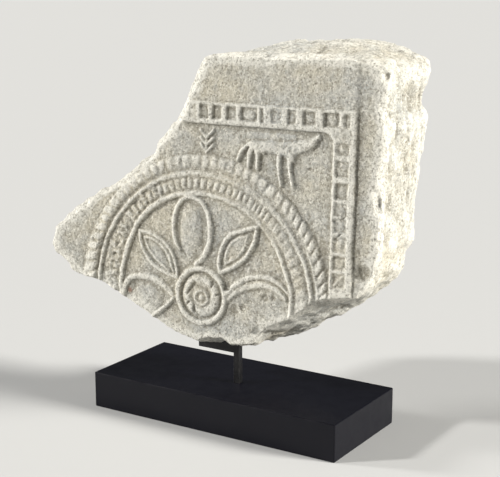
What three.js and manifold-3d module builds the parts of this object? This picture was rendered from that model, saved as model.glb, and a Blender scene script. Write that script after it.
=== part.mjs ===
// A fragment of a carved limestone panel, held up by a square steel rod on a black wooden base.
// Millimetres, +Z up. The origin is the centre of the base's underside, and the carved face looks along -Y.
import * as THREE from "three";
import { mergeVertices } from "three/addons/utils/BufferGeometryUtils.js";
import Module from "manifold-3d";

const wasm = await Module();
wasm.setup();

// Driving dimensions
const GAP = 0.3; // clearance between two pieces that touch
const BASE = { width: 287, depth: 123.5, height: 38, edge: 1.2 };
const ROD = { side: 6.6, x: 2, y: -9, foot: 16, top: 116 };
const SADDLE = { length: 43, low: 70, high: 81.5 }; // the arm under the stone's notch, welded to the rod
const FACE = { yaw: 2.95, lean: 2.52, y: -34.2, z: 190 }; // degrees, and where the carving's origin stands

// The carving's own frame: u to the right, v up, n out of the stone. The crests lie near n = 0.
const GROUND = -4.5; // the field that the carving stands on
const ROOT = -7.5; // how far each raised form reaches into the stone
const BACK = -86;
const SPALL = 3; // how far the front edge is broken back
const BELLY = { u: -15, reach: 22, drop: 9, below: -90 }; // the underside hangs lowest over the saddle
const WANDER = [ // how the broken sides wave in and out: by how much, along the outline, and over the depth
  { size: 1.6, alongOutline: 1.7, overDepth: 9 },
  { size: 1.1, alongOutline: 0.8, overDepth: -14 },
];
const SLICES = [0.06, 0.3, 0.62, 0.94]; // where the sides are shaped, as shares of the thickness

// The broken outline, clockwise: u, v at the front edge, then u, v where the same corner leaves the back.
const OUTLINE = [
  [-30, 180, -22, 179], [-10, 183, -6, 184], [20, 183, 10, 192], [45, 183, 32, 198], [80, 184, 62, 199],
  [120, 185, 100, 201], [150, 182, 132, 199], [162, 178, 152, 195], [167, 169, 175, 184],
  [167, 158, 180, 171],
  [165, 146, 171, 150], [164, 133, 171, 142], [166, 120, 179, 130], [165, 100, 176, 108], [162, 85, 172, 90],
  [161, 68, 172, 62], [164, 48, 169, 38], [167, 32, 168, 22], [166, 14, 168, 8], [164, 0, 161, -3],
  [160, -14, 159, -20], [154, -27, 156, -29], [143, -40, 145, -38], [130, -43, 134, -48],
  [113, -46, 118, -62],
  [101, -49, 105, -69], [91, -58, 95, -78], [80, -66, 80, -84], [70, -72, 69, -94], [56, -78, 50, -104],
  [43, -88, 34, -110], [36, -100, 22, -112], [23, -103, 12, -113], [10, -105, 4, -113], [-2, -99, -6, -112],
  [-15, -100, -16, -112], [-29, -106, -28, -111], [-41, -104, -39, -107], [-64, -99, -58, -98],
  [-84, -89, -76, -86], [-103, -80, -95, -75], [-128, -69, -116, -63], [-154, -58, -138, -53],
  [-180, -57, -160, -49], [-192, -51, -172, -42], [-201, -41, -180, -34], [-213, -36, -190, -28],
  [-218, -26, -195, -19], [-212, -6, -190, -6], [-200, 5, -180, 5], [-173, 24, -157, 20],
  [-154, 37, -138, 32],
  [-141, 42, -126, 38], [-128, 52, -113, 48], [-110, 66, -97, 61], [-94, 77, -82, 72], [-86, 82, -74, 80],
  [-84, 91, -71, 89], [-74, 102, -62, 100], [-62, 115, -50, 113], [-53, 129, -42, 128], [-45, 146, -34, 146],
  [-38, 162, -28, 162],
];

// The wheel: rings about one centre, given by their radii
const WHEEL = { u: -22.7, v: -54.5, segments: 90 };
const RING_PROFILE = [
  [95.8, ROOT], [96.5, -3.2], [98, -0.5], [100.5, -0.5], [103, -3], [117.5, -3], [119.5, -0.8], [123, -0.8],
  [124.8, -2.6], [126.5, -1], [128.8, -1.2], [130.5, -3.2], [142.5, -3.4], [144.5, ROOT],
];
const INNER_CABLE = { radius: 110, beads: 96, long: 12, wide: 4.6, crest: -0.8 };
const OUTER_CABLE = { radius: 137, beads: 86, long: 12, wide: 7, crest: -0.4 };
const BEAD = { foot: 1.02, crest: 0.6 }; // a bead's breadth at its foot and crest, as shares of its size
const BEAD_LEAN = { upright: 52, least: -18, most: 38 }; // degrees
const BROKEN_OFF = { from: 200, to: 350 }; // degrees round the wheel where no bead is left
const WORN = { middle: 100, half: 18, fade: 50, crest: -2.3 }; // where the outer cable is worn almost flat

// The raised border: a band with sunk square cells, round the top right corner of the field
const BORDER = { left: -60, bottom: -60, inner: 116.5, outerU: 140, outerV: 137.5, corner: 11, crest: -0.3 };
const CELL = { floor: -3.2, low: 120.5, high: 133.5, slope: 0.8 };
const TOP_CELLS = [
  [-42, -34], [-29, -19], [-15, -4], [0, 13], [17.5, 34.5], [38, 42], [50, 62.5], [67, 77.5], [83, 97],
  [105.5, 122], [127, 133],
];
const SIDE_CELLS = [[95, 107], [75, 90], [54, 69], [38, 51], [23, 35], [4, 19], [-12.5, 0.5], [-30, -16]];

// The rosette's middle
const HUB = { u: -24.5, v: -57.5, ring: 27, tube: 3.4, disc: 22, floor: -3.2, eye: 3.6, collar: 7.5 };
const LOBES = { count: 5, radius: 15.5, long: 8.5, wide: 5.6, crest: -1 };
const PIT = { u: 3.5, v: -41.5, width: 7, height: 9, floor: -9.5 };
const TREE = { u: -21, foot: 84, top: 104, joints: [101, 93.5, 86], wide: 3, crest: -1.7 };

// The beast
const BEAST = { crest: -0.9, bevel: 1.2, inset: 1 };

const rad = THREE.MathUtils.degToRad;
const average = (a, b, t) => a + (b - a) * t;

// A closed geometry as a solid
function solid(geometry) {
  const bare = geometry.index ? geometry.toNonIndexed() : geometry.clone();
  for (const name of Object.keys(bare.attributes)) if (name !== "position") bare.deleteAttribute(name);
  const merged = mergeVertices(bare, 1e-4);
  return new wasm.Manifold(
    new wasm.Mesh({
      numProp: 3,
      vertProperties: new Float32Array(merged.attributes.position.array),
      triVerts: new Uint32Array(merged.index.array),
    }),
  );
}

// A solid as a geometry with flat faces
function geometryOf(body) {
  const mesh = body.getMesh();
  const geometry = new THREE.BufferGeometry();
  geometry.setAttribute("position", new THREE.BufferAttribute(new Float32Array(mesh.vertProperties), 3));
  geometry.setIndex(new THREE.BufferAttribute(new Uint32Array(mesh.triVerts), 1));
  const flat = geometry.toNonIndexed();
  flat.computeVertexNormals();
  return flat;
}

const joined = (bodies) => bodies.reduce((sum, body) => sum.add(body));
const vector = ([u, v]) => new THREE.Vector2(u, v);
const block = (w, d, h, x, y, z) => new THREE.BoxGeometry(w, d, h).translate(x, y, z);

// An outline moved along its own normals, outwards where positive: by one distance, or by one for each corner
function moved(outline, distance) {
  return outline.map(([u, v], i) => {
    const before = outline[(i + outline.length - 1) % outline.length];
    const after = outline[(i + 1) % outline.length];
    const along = new THREE.Vector2(after[0] - before[0], after[1] - before[1]).normalize();
    const by = Array.isArray(distance) ? distance[i] : distance;
    return [u - along.y * by, v + along.x * by];
  });
}

// A closed loft through outlines of equal count, each at its own n, front first
function loft(rings) {
  const count = rings[0].outline.length;
  const position = rings.flatMap(({ outline, n }) => outline.flatMap(([u, v]) => [u, v, n]));
  const index = [];
  for (let r = 0; r + 1 < rings.length; r++) {
    for (let i = 0; i < count; i++) {
      const a = r * count + i;
      const b = r * count + ((i + 1) % count);
      index.push(a, b, a + count, b, b + count, a + count);
    }
  }
  const cap = (ring, start, front) => {
    for (const [a, b, c] of THREE.ShapeUtils.triangulateShape(ring.outline.map(vector), [])) {
      index.push(start + a, start + (front ? b : c), start + (front ? c : b));
    }
  };
  cap(rings[0], 0, true);
  cap(rings[rings.length - 1], (rings.length - 1) * count, false);
  const geometry = new THREE.BufferGeometry();
  geometry.setAttribute("position", new THREE.Float32BufferAttribute(position, 3));
  geometry.setIndex(index);
  return geometry;
}

// The broken sides wander in and out between the front edge and the back
function brokenOutline(depthShare) {
  const middle = Math.sin(Math.PI * depthShare);
  const drawn = OUTLINE.map(([u, v, backU, backV]) => [
    average(u, backU, depthShare),
    average(v, backV, depthShare),
  ]);
  const bulges = drawn.map(([u, v], i) => {
    const waves = WANDER.map((w) => w.size * Math.sin(w.alongOutline * i + w.overDepth * depthShare));
    const belly = v < BELLY.below ? BELLY.drop * Math.exp(-(((u - BELLY.u) / BELLY.reach) ** 2)) : 0;
    return (waves[0] + waves[1] + belly) * middle;
  });
  return moved(drawn, bulges);
}

// The plain slab of stone behind the carving
function slab() {
  return solid(loft([
    { outline: moved(brokenOutline(0), -SPALL), n: GROUND },
    ...SLICES.map((share) => ({ outline: brokenOutline(share), n: average(GROUND, BACK, share) })),
    { outline: moved(brokenOutline(1), -SPALL), n: BACK },
  ]));
}

// Everything in front of the slab that the break has left
function carvedPart() {
  const edge = moved(brokenOutline(0), -SPALL - GAP);
  return solid(loft([{ outline: edge, n: -GROUND }, { outline: edge, n: 2 * ROOT }]));
}

// A ridge along a curve through the points: its section is flat on top over about half its width
function ridge(points, wide, crest, steps = 12) {
  const flat = wide * 0.24;
  const corners = [[-ROOT, -wide / 2], [-crest, -flat], [-crest, flat], [-ROOT, wide / 2]];
  const section = new THREE.Shape(corners.map(vector));
  const path = new THREE.CatmullRomCurve3(points.map(([u, v]) => new THREE.Vector3(u, v, 0)));
  return solid(new THREE.ExtrudeGeometry(section, { steps, extrudePath: path, bevelEnabled: false }));
}

// A low dome with an oval foot
function dome(u, v, halfU, halfV, crest, turn = 0, segments = 20) {
  const rise = crest - ROOT;
  const ball = new THREE.SphereGeometry(1, segments, 8).rotateX(Math.PI / 2);
  return solid(ball.scale(halfU, halfV, rise).rotateZ(rad(turn)).translate(u, v, ROOT));
}

// A round or oval ring
function hoop(u, v, halfU, halfV, wide, crest, segments = 32) {
  const rise = crest - ROOT;
  const mean = (halfU + halfV) / 2;
  const ring = new THREE.TorusGeometry(1, wide / 2 / mean, 6, segments);
  return solid(ring.scale(halfU, halfV, (rise * mean) / (wide / 2)).translate(u, v, ROOT));
}

function wheelRings() {
  const closed = [RING_PROFILE[0], ...[...RING_PROFILE].reverse()].map(vector);
  const rings = new THREE.LatheGeometry(closed, WHEEL.segments).rotateX(Math.PI / 2);
  return solid(rings.translate(WHEEL.u, WHEEL.v, 0));
}

// The beads lean over like the strands of a rope, more so low on the right
function beadLean(angle) {
  return THREE.MathUtils.clamp(rad(BEAD_LEAN.upright) - angle, rad(BEAD_LEAN.least), rad(BEAD_LEAN.most));
}

// How much of a bead's height the weather has left, from 0 to 1
function weathering(angle) {
  return THREE.MathUtils.smoothstep(Math.abs(angle - rad(WORN.middle)), rad(WORN.half), rad(WORN.fade));
}

function cable({ radius, beads, long, wide, crest }, weathered) {
  const made = [];
  for (let i = 0; i < beads; i++) {
    const angle = (i / beads) * Math.PI * 2;
    if (angle > rad(BROKEN_OFF.from) && angle < rad(BROKEN_OFF.to)) continue;
    const top = weathered ? average(WORN.crest, crest, weathering(angle)) : crest;
    const bead = new THREE.CylinderGeometry(BEAD.crest / Math.SQRT2, BEAD.foot / Math.SQRT2, 1, 4);
    bead.rotateY(Math.PI / 4).rotateX(Math.PI / 2);
    bead.scale(long, wide, top - ROOT).rotateZ(beadLean(angle)).translate(radius, 0, (top + ROOT) / 2);
    made.push(solid(bead.rotateZ(angle).translate(WHEEL.u, WHEEL.v, 0)));
  }
  return joined(made);
}

function bandShape() {
  const { left, bottom, inner, outerU, outerV, corner } = BORDER;
  const band = new THREE.Shape();
  band.moveTo(left, inner).lineTo(inner - corner, inner);
  band.quadraticCurveTo(inner, inner, inner, inner - corner);
  band.lineTo(inner, bottom).lineTo(outerU, bottom).lineTo(outerU, outerV).lineTo(left, outerV);
  return band;
}

// A sunk cell with sloping walls
function cell(u0, v0, u1, v1) {
  const foot = [[u0, v0], [u0, v1], [u1, v1], [u1, v0]];
  return solid(loft([{ outline: moved(foot, CELL.slope), n: 1 }, { outline: foot, n: CELL.floor }]));
}

function border() {
  const depth = BORDER.crest - ROOT;
  const raised = new THREE.ExtrudeGeometry(bandShape(), { depth, bevelEnabled: false, curveSegments: 6 });
  const band = solid(raised.translate(0, 0, ROOT));
  const top = TOP_CELLS.map(([u0, u1]) => cell(u0, CELL.low, u1, CELL.high));
  const side = SIDE_CELLS.map(([v0, v1]) => cell(CELL.low - 1, v0, CELL.high, v1));
  return band.subtract(joined([...top, ...side]));
}

function topPetal() {
  return [hoop(-36, 7.5, 21.5, 33, 8, -0.4, 36), dome(-37, 8, 16.5, 28, -1.6)];
}

function leftLeaf() {
  return [
    ridge([[-97, 0], [-80, -0.5], [-66, -9], [-56, -25], [-52, -42]], 5, -0.8),
    ridge([[-97, 0], [-95, -12], [-87, -26], [-72, -37], [-53, -44]], 5, -1.2),
    ridge([[-89, -8], [-74, -12], [-63, -22], [-58, -36]], 4, -1.6, 8),
    ridge([[-87, -12], [-76, -22], [-64, -33]], 4, -1.6, 6),
  ];
}

function rightLeaf() {
  return [
    ridge([[-3, -31], [-3, -12], [5, 5], [19, 16], [39, 21]], 5.5, -0.3),
    ridge([[39, 21], [38, 3], [29, -12], [15, -24], [-3, -31]], 6, 0),
    dome(16, -5, 7, 20, -1.2, -36, 14),
    ridge([[4, -21], [5, -8], [14, 5], [29, 12]], 3.4, -1.4, 8),
    ridge([[29, 12], [27, 0], [17, -12], [4, -21]], 3.4, -1.4, 8),
  ];
}

function lowerLeftPetal() {
  return [
    ridge([[-118, -66], [-114, -53], [-102, -45], [-86, -44], [-70, -50], [-56, -60]], 6.5, -0.4, 14),
    ridge([[-56, -62], [-68, -72], [-82, -85], [-92, -94]], 6, -0.4, 6),
    dome(-88, -67, 22, 16, -1.8, -12),
  ];
}

function lowerRightPetal() {
  return [
    ridge([[2, -58], [10, -47], [22, -37], [36, -30], [50, -29], [64, -33], [76, -44], [84, -60]], 7, -0.6, 16),
    ridge([[6, -60], [14, -51], [26, -42], [40, -37], [54, -37], [66, -44], [73, -56]], 5, -1.8, 14),
    dome(42, -66, 30, 21, -2.2, 0, 16),
  ];
}

function hub() {
  const { u, v, ring, tube, disc, floor, eye, collar } = HUB;
  const plate = new THREE.CylinderGeometry(disc, disc, floor - ROOT, 28).rotateX(Math.PI / 2);
  const parts = [
    hoop(u, v, ring, ring, tube * 2, -0.2, 36),
    ridge([[u + 30, v - 2], [u + 27, v - 14], [u + 18, v - 25], [u + 4, v - 30]], 6, -1, 8),
    solid(plate.translate(u, v, (ROOT + floor) / 2)),
    hoop(u, v, collar, collar, eye, -1.4, 16),
    dome(u, v, eye, eye, -0.8, 0, 10),
  ];
  for (let i = 0; i < LOBES.count; i++) {
    const turn = 90 + (360 / LOBES.count) * i;
    const lobeU = u + LOBES.radius * Math.cos(rad(turn));
    const lobeV = v + LOBES.radius * Math.sin(rad(turn));
    parts.push(dome(lobeU, lobeV, LOBES.long, LOBES.wide, LOBES.crest, turn, 12));
  }
  return parts;
}

// The little tree: three chevrons on a stem
function tree() {
  const { u, foot, top, joints, wide, crest } = TREE;
  const arms = joints.flatMap((v) => [[[u, v], [u + 9, v + 9]], [[u, v], [u - 8, v + 10]]]);
  return [...arms, [[u, foot], [u, top]]].map((line) => ridge(line, wide, crest, 1));
}

// The four-footed beast walks to the right with its head up against the border
function beast() {
  const body = new THREE.Shape();
  body.moveTo(25, 97);
  body.splineThru([[30, 103], [45, 104.5], [62, 103.5], [76, 106], [88, 111], [96, 116]].map(vector));
  body.lineTo(102, 113).lineTo(99, 103.5).lineTo(93, 99.5);
  body.splineThru([[84, 96], [77, 89], [72.5, 80], [74, 70], [77, 60]].map(vector));
  body.lineTo(71, 58).lineTo(67, 72).lineTo(65.5, 88).lineTo(62, 88);
  body.lineTo(62.5, 74).lineTo(66, 60).lineTo(60, 59).lineTo(57, 74).lineTo(57, 87);
  body.splineThru([[50, 90.5], [40, 91], [38.5, 84], [38, 76]].map(vector));
  body.lineTo(33.5, 76).lineTo(33, 92).lineTo(30, 92).lineTo(28.5, 77).lineTo(23, 77).lineTo(24, 90);
  const { crest, bevel: bevelThickness, inset: bevelSize } = BEAST;
  const bevel = { bevelThickness, bevelSize, bevelOffset: -bevelSize, bevelSegments: 1 };
  const depth = crest - bevelThickness - ROOT;
  const flat = new THREE.ExtrudeGeometry(body, { depth, ...bevel, curveSegments: 3 });
  return [solid(flat.translate(0, 0, ROOT)), ridge([[27, 100], [19, 94], [13, 83]], 4.4, -1.4, 4)];
}

// The rod's and the saddle's own shape, grown on every side by `room`
function supportShape(room) {
  const side = ROD.side + 2 * room;
  const rodHeight = ROD.top - ROD.foot + 2 * room;
  const rod = block(side, side, rodHeight, ROD.x, ROD.y, (ROD.top + ROD.foot) / 2);
  const armLeft = ROD.x - ROD.side / 2 - SADDLE.length - room;
  const armHeight = SADDLE.high - SADDLE.low + 2 * room;
  const armMiddle = [(ROD.x + armLeft) / 2, ROD.y, (SADDLE.low + SADDLE.high) / 2];
  const arm = block(ROD.x - armLeft, side, armHeight, ...armMiddle);
  return solid(rod).add(solid(arm));
}

// Where the stone's own frame stands in the part
const stonePlace = new THREE.Group();
stonePlace.rotation.set(Math.PI / 2 - rad(FACE.lean), 0, rad(FACE.yaw), "ZYX");
stonePlace.position.set(0, FACE.y, FACE.z);
stonePlace.updateMatrixWorld(true);

function stone() {
  const relief = joined([
    wheelRings(), cable(INNER_CABLE, false), cable(OUTER_CABLE, true), border(), ...topPetal(), ...leftLeaf(),
    ...rightLeaf(), ...lowerLeftPetal(), ...lowerRightPetal(), ...hub(), ...tree(), ...beast(),
  ]);
  const pit = solid(block(PIT.width, PIT.height, -PIT.floor, PIT.u, PIT.v, PIT.floor / 2));
  const seat = geometryOf(supportShape(GAP)).applyMatrix4(stonePlace.matrixWorld.clone().invert());
  return slab().add(relief.intersect(carvedPart())).subtract(pit).subtract(solid(seat));
}

function base() {
  const { width, depth, height, edge } = BASE;
  const top = new THREE.Shape();
  const x = width / 2 - edge;
  const y = depth / 2 - edge;
  top.moveTo(-x, -y).lineTo(x, -y).lineTo(x, y).lineTo(-x, y);
  const bevel = { bevelThickness: edge, bevelSize: edge, bevelSegments: 1 };
  const blank = new THREE.ExtrudeGeometry(top, { depth: height - 2 * edge, ...bevel }).translate(0, 0, edge);
  return solid(blank).subtract(supportShape(GAP));
}

const finish = {
  limestone: new THREE.MeshStandardMaterial({ color: 0xc9bea6, roughness: 0.9, metalness: 0 }),
  blackSteel: new THREE.MeshStandardMaterial({ color: 0x121214, roughness: 0.5, metalness: 0.6 }),
  blackWood: new THREE.MeshStandardMaterial({ color: 0x0c0c0f, roughness: 0.4, metalness: 0 }),
};

function piece(name, body, material) {
  const mesh = new THREE.Mesh(geometryOf(body), material);
  mesh.name = name;
  return mesh;
}

const panel = new THREE.Group();
stonePlace.add(piece("relief_fragment", stone(), finish.limestone));
panel.add(stonePlace);
panel.add(piece("support_rod", supportShape(0), finish.blackSteel));
panel.add(piece("display_base", base(), finish.blackWood));

export default panel;
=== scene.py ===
# %% [markdown]
# # A carved limestone fragment on its stand
# The object is the broken corner of a carved stone panel. It hangs on a square steel rod, and the rod
# stands in a black block. This lesson dresses the three solids of the model: the stone gets its fine
# relief, its breaks and its grain, and the rod and the block get eased edges and a worn black finish.
#
# The model comes in as a frame that never moves. Everything below is worked out in the same frame, in
# metres, with the origin in the middle of the block's underside.

# %% Load the frame
import math

import bmesh
import bpy
import numpy as np
from mathutils import Euler, Matrix, Vector, noise


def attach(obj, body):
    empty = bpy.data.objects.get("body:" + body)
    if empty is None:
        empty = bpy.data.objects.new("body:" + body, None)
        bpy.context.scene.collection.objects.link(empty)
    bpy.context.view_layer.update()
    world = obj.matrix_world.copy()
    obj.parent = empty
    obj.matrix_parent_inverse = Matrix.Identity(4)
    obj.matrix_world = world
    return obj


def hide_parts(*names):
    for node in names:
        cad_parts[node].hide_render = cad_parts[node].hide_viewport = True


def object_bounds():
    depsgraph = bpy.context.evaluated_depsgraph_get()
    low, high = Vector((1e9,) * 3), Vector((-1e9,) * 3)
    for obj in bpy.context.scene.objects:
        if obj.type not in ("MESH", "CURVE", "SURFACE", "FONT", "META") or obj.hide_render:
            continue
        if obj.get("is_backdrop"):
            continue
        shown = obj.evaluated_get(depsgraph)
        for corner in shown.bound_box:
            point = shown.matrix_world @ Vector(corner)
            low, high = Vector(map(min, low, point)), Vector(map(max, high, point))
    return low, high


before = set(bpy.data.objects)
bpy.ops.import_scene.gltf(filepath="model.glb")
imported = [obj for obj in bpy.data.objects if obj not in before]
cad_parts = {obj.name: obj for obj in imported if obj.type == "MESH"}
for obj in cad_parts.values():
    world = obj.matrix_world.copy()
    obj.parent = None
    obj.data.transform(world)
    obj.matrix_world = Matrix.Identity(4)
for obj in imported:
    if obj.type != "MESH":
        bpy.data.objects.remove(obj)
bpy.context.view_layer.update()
MM = 0.001
FLOOR_SIZE = 200  # metres

# %% [markdown]
# ## The camera
# The photograph looks at the carving from the right and a little from above. The view was worked out from
# the corners of the black block, so the camera simply stands where the photographer stood. Its lens is
# long, about 90 mm on a 36 mm film, which is why the block's edges run almost parallel.

# %% Stand the camera where the photographer stood
CAMERA_PLACE = Vector((665.7, -1035.0, 468.6)) * MM
CAMERA_YAW, CAMERA_PITCH = 0.56415, 0.22477  # radians
FILM, FOCAL_PIXELS, PHOTO_WIDTH = 36, 1255.15, 500  # mm, pixels, pixels

camera = bpy.data.objects.new("camera", bpy.data.cameras.new("camera"))
camera.data.sensor_width = FILM
camera.data.lens = FOCAL_PIXELS * FILM / PHOTO_WIDTH
camera.data.clip_start, camera.data.clip_end = 0.05, FLOOR_SIZE
camera.location = CAMERA_PLACE
camera.rotation_euler = Euler((math.pi / 2 - CAMERA_PITCH, 0, CAMERA_YAW))
bpy.context.scene.collection.objects.link(camera)
bpy.context.scene.camera = camera
print("camera: lens", round(camera.data.lens, 2), "mm")

# %% [markdown]
# ## Light and floor
# Low relief only shows when light rakes across it. The main light comes from the left and a little from
# above, low enough for a step of 3 mm to throw a shadow some 4 mm long, and a weaker one beside it only
# grazes the face and picks out the grain. A third light stands to the right, just behind the plane of the
# carving, so that it reaches the broken side and the top but leaves the shadows in the carving alone. All
# are sun lamps with a wide disc: their light is soft, and it doesn't fall off over the pale floor.

# %% Lights, surroundings and floor
LIGHTS = {  # where it shines from, strength, disc in degrees, colour
    "raking_light": ((-0.68, -0.58, 0.44), 2.95, 5, (1.0, 0.985, 0.96)),
    "grazing_light": ((-0.90, -0.30, 0.32), 2.3, 10, (1.0, 0.99, 0.97)),
    "side_light": ((0.90, 0.20, 0.36), 6.4, 16, (1.0, 0.98, 0.94)),
}
SURROUNDINGS, SURROUNDINGS_STRENGTH = (0.92, 0.95, 1.0, 1), 0.11


def sun(name, towards, strength, disc, colour):
    """A sun lamp seen from the object in the direction `towards`."""
    lamp = bpy.data.objects.new(name, bpy.data.lights.new(name, "SUN"))
    lamp.data.energy = strength
    lamp.data.angle = math.radians(disc)
    lamp.data.color = colour
    lamp.rotation_euler = Vector(towards).to_track_quat("Z", "Y").to_euler()
    bpy.context.scene.collection.objects.link(lamp)


for name, values in LIGHTS.items():
    sun(name, *values)

world = bpy.data.worlds.new("studio")
world.use_nodes = True
background = world.node_tree.nodes["Background"]
background.inputs["Color"].default_value = SURROUNDINGS
background.inputs["Strength"].default_value = SURROUNDINGS_STRENGTH
bpy.context.scene.world = world
bpy.context.scene.view_settings.view_transform = "Standard"


def mesh_object(name, shape):
    """Turns a finished bmesh into an object of the scene, and frees it."""
    mesh = bpy.data.meshes.new(name)
    shape.to_mesh(mesh)
    shape.free()
    made = bpy.data.objects.new(name, mesh)
    bpy.context.scene.collection.objects.link(made)
    return made


floor_shape = bmesh.new()
bmesh.ops.create_grid(floor_shape, x_segments=1, y_segments=1, size=FLOOR_SIZE / 2)
floor = mesh_object("floor", floor_shape)
floor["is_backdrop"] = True
print("lights:", len(LIGHTS), "suns, floor", FLOOR_SIZE, "m")

# %% [markdown]
# ## Shader maths in plain Python
# A material in Blender is a graph of nodes. Drawing that graph in code gets long, so one small class
# wraps a node's output and overloads the operators: `1 - mask * 0.5` then adds the Math nodes by itself.
# `Finish` holds one material, and its `node` method makes any other kind of node.

# %% A socket that can be calculated with
class Value:
    """A number that a node puts out. Arithmetic on it adds Math nodes to the same material."""

    def __init__(self, finish, socket):
        self.finish, self.socket = finish, socket

    def _maths(self, operation, *inputs):
        return self.finish.node("ShaderNodeMath", {"operation": operation}, dict(enumerate(inputs)))

    def __add__(self, other):
        return self._maths("ADD", self, other)

    __radd__ = __add__

    def __sub__(self, other):
        return self._maths("SUBTRACT", self, other)

    def __rsub__(self, other):
        return self._maths("SUBTRACT", other, self)

    def __mul__(self, other):
        return self._maths("MULTIPLY", self, other)

    __rmul__ = __mul__


class Finish:
    """One material, with short ways to make its nodes."""

    def __init__(self, name):
        self.material = bpy.data.materials.new(name)
        self.material.use_nodes = True
        self.tree = self.material.node_tree
        self.shader = self.tree.nodes["Principled BSDF"]
        self.place = self.node("ShaderNodeTexCoord", out="Object")

    def node(self, kind, settings=None, inputs=None, out=0):
        """Makes a node of this kind. Settings go first, then the values or links of its sockets."""
        made = self.tree.nodes.new(kind)
        for key, value in (settings or {}).items():
            setattr(made, key, value)
        for key, value in (inputs or {}).items():
            self._join(made.inputs[key], value)
        return Value(self, made.outputs[out])

    def _join(self, socket, value):
        if isinstance(value, Value):
            self.tree.links.new(value.socket, socket)
        elif isinstance(value, tuple) and len(value) == 3 and socket.type == "RGBA":
            socket.default_value = (*value, 1)
        else:
            socket.default_value = value

    def cloud(self, scale, detail, roughness, stretch=(1, 1, 1)):
        """Soft noise from 0 to 1. Scale is in lumps to the metre."""
        place = self.node("ShaderNodeMapping", inputs={"Vector": self.place, "Scale": stretch})
        sockets = {"Vector": place, "Scale": scale, "Detail": detail, "Roughness": roughness}
        return self.node("ShaderNodeTexNoise", inputs=sockets)

    def grains(self, scale, what):
        """Packed grains: their random tones, or the distance to the middle of the nearest one."""
        shaken, reach = 0.8, 0.6  # of the scale and of a grain's width, so that no grain is a neat cell
        wobble = self.cloud(scale * shaken, 2, 0.5) * (reach / scale)
        place = self.node("ShaderNodeVectorMath", {"operation": "ADD"}, {0: self.place, 1: wobble})
        return self.node("ShaderNodeTexVoronoi", inputs={"Vector": place, "Scale": scale}, out=what)

    def between(self, value, low, high):
        """0 where value is below low, 1 where it is above high, and smooth between them."""
        sockets = {"Value": value, "From Min": low, "From Max": high}
        return self.node("ShaderNodeMapRange", {"interpolation_type": "SMOOTHSTEP"}, sockets)

    def blend(self, mask, first, second):
        """The first colour where the mask is 0, and the second where it is 1."""
        return self.node("ShaderNodeMix", {"data_type": "RGBA"}, {0: mask, 6: first, 7: second}, out=2)

    def attribute(self, name):
        """A number stored on the piece's own vertices."""
        return self.node("ShaderNodeAttribute", {"attribute_name": name}, out="Fac")

    def surface(self, **sockets):
        """Sets the shader's sockets, named with underscores for spaces."""
        for key, value in sockets.items():
            self._join(self.shader.inputs[key.replace("_", " ")], value)
        return self.material


floor_finish = Finish("pale_floor")
floor.data.materials.append(floor_finish.surface(Base_Color=(0.50, 0.50, 0.49), Roughness=0.9))
print("floor material:", len(floor_finish.tree.nodes), "nodes")

# %% [markdown]
# ## The stone's own frame
# The carving is easiest to think of flat: u runs to the right over the face, v runs up and n comes out of
# the stone, all in millimetres. The crests of the relief are drawn near n = 0 and its ground at n = -4.5,
# and a last step flattens all of it to about 3 mm. The stone stands turned by 3 degrees and leans back a
# little, so one matrix carries the flat drawing into the frame at the end.

# %% The stone's place and its driving sizes
FACE_YAW, FACE_LEAN = math.radians(2.95), math.radians(2.52)
FACE_ORIGIN = Vector((0, -34.2, 190)) * MM
GROUND = -4.5  # the sunk ground of the relief, as it is drawn
BACK = -86
SPALL = 3  # how far the front and the back edge are broken back

turned = Matrix.Rotation(FACE_YAW, 4, "Z") @ Matrix.Rotation(math.pi / 2 - FACE_LEAN, 4, "X")
stone_place = Matrix.Translation(FACE_ORIGIN) @ turned @ Matrix.Scale(MM, 4)
print("face looks along", [round(x, 3) for x in turned.col[2][:3]])

# %% [markdown]
# ## The broken outline
# A break has no formula. Its corners are listed, clockwise from the top left: u and v at the front edge,
# then u and v where the same corner leaves the back. Between the two the sides wander in and out by two
# slow waves, and the underside bellies down where the stone sits on its support. Modelling the break by
# hand with a sculpting brush would do as well, but a list of corners can be checked and changed one by one.

# %% The outline, front and back
OUTLINE = np.array([
    (-30, 180, -22, 179), (-10, 183, -6, 184), (20, 183, 10, 192), (45, 183, 32, 198), (80, 184, 62, 199),
    (120, 185, 100, 201), (150, 182, 132, 199), (162, 178, 152, 195), (167, 169, 175, 184),
    (167, 158, 180, 171), (165, 146, 171, 150), (164, 133, 171, 142), (166, 120, 179, 130),
    (165, 100, 176, 108), (162, 85, 172, 90), (161, 68, 172, 62), (164, 48, 169, 38), (167, 32, 168, 22),
    (166, 14, 168, 8), (164, 0, 161, -3), (160, -14, 159, -20), (154, -27, 156, -29),
    (143, -40, 145, -38), (130, -43, 134, -48), (113, -46, 118, -62), (101, -49, 105, -69),
    (91, -58, 95, -78), (80, -66, 80, -84), (70, -72, 69, -94), (56, -78, 50, -104), (43, -88, 34, -110),
    (36, -100, 22, -112), (23, -103, 12, -113), (10, -105, 4, -113), (-2, -99, -6, -112),
    (-15, -100, -16, -112), (-29, -106, -28, -111), (-41, -104, -39, -107), (-64, -99, -58, -98),
    (-84, -89, -76, -86), (-103, -80, -95, -75), (-128, -69, -116, -63), (-154, -58, -138, -53),
    (-180, -57, -160, -49), (-192, -51, -172, -42), (-201, -41, -180, -34), (-213, -36, -190, -28),
    (-218, -26, -195, -19), (-212, -6, -190, -6), (-200, 5, -180, 5), (-173, 24, -157, 20),
    (-154, 37, -138, 32), (-141, 42, -126, 38), (-128, 52, -113, 48), (-110, 66, -97, 61),
    (-94, 77, -82, 72), (-86, 82, -74, 80), (-84, 91, -71, 89), (-74, 102, -62, 100),
    (-62, 115, -50, 113), (-53, 129, -42, 128), (-45, 146, -34, 146), (-38, 162, -28, 162),
], float)
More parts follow.
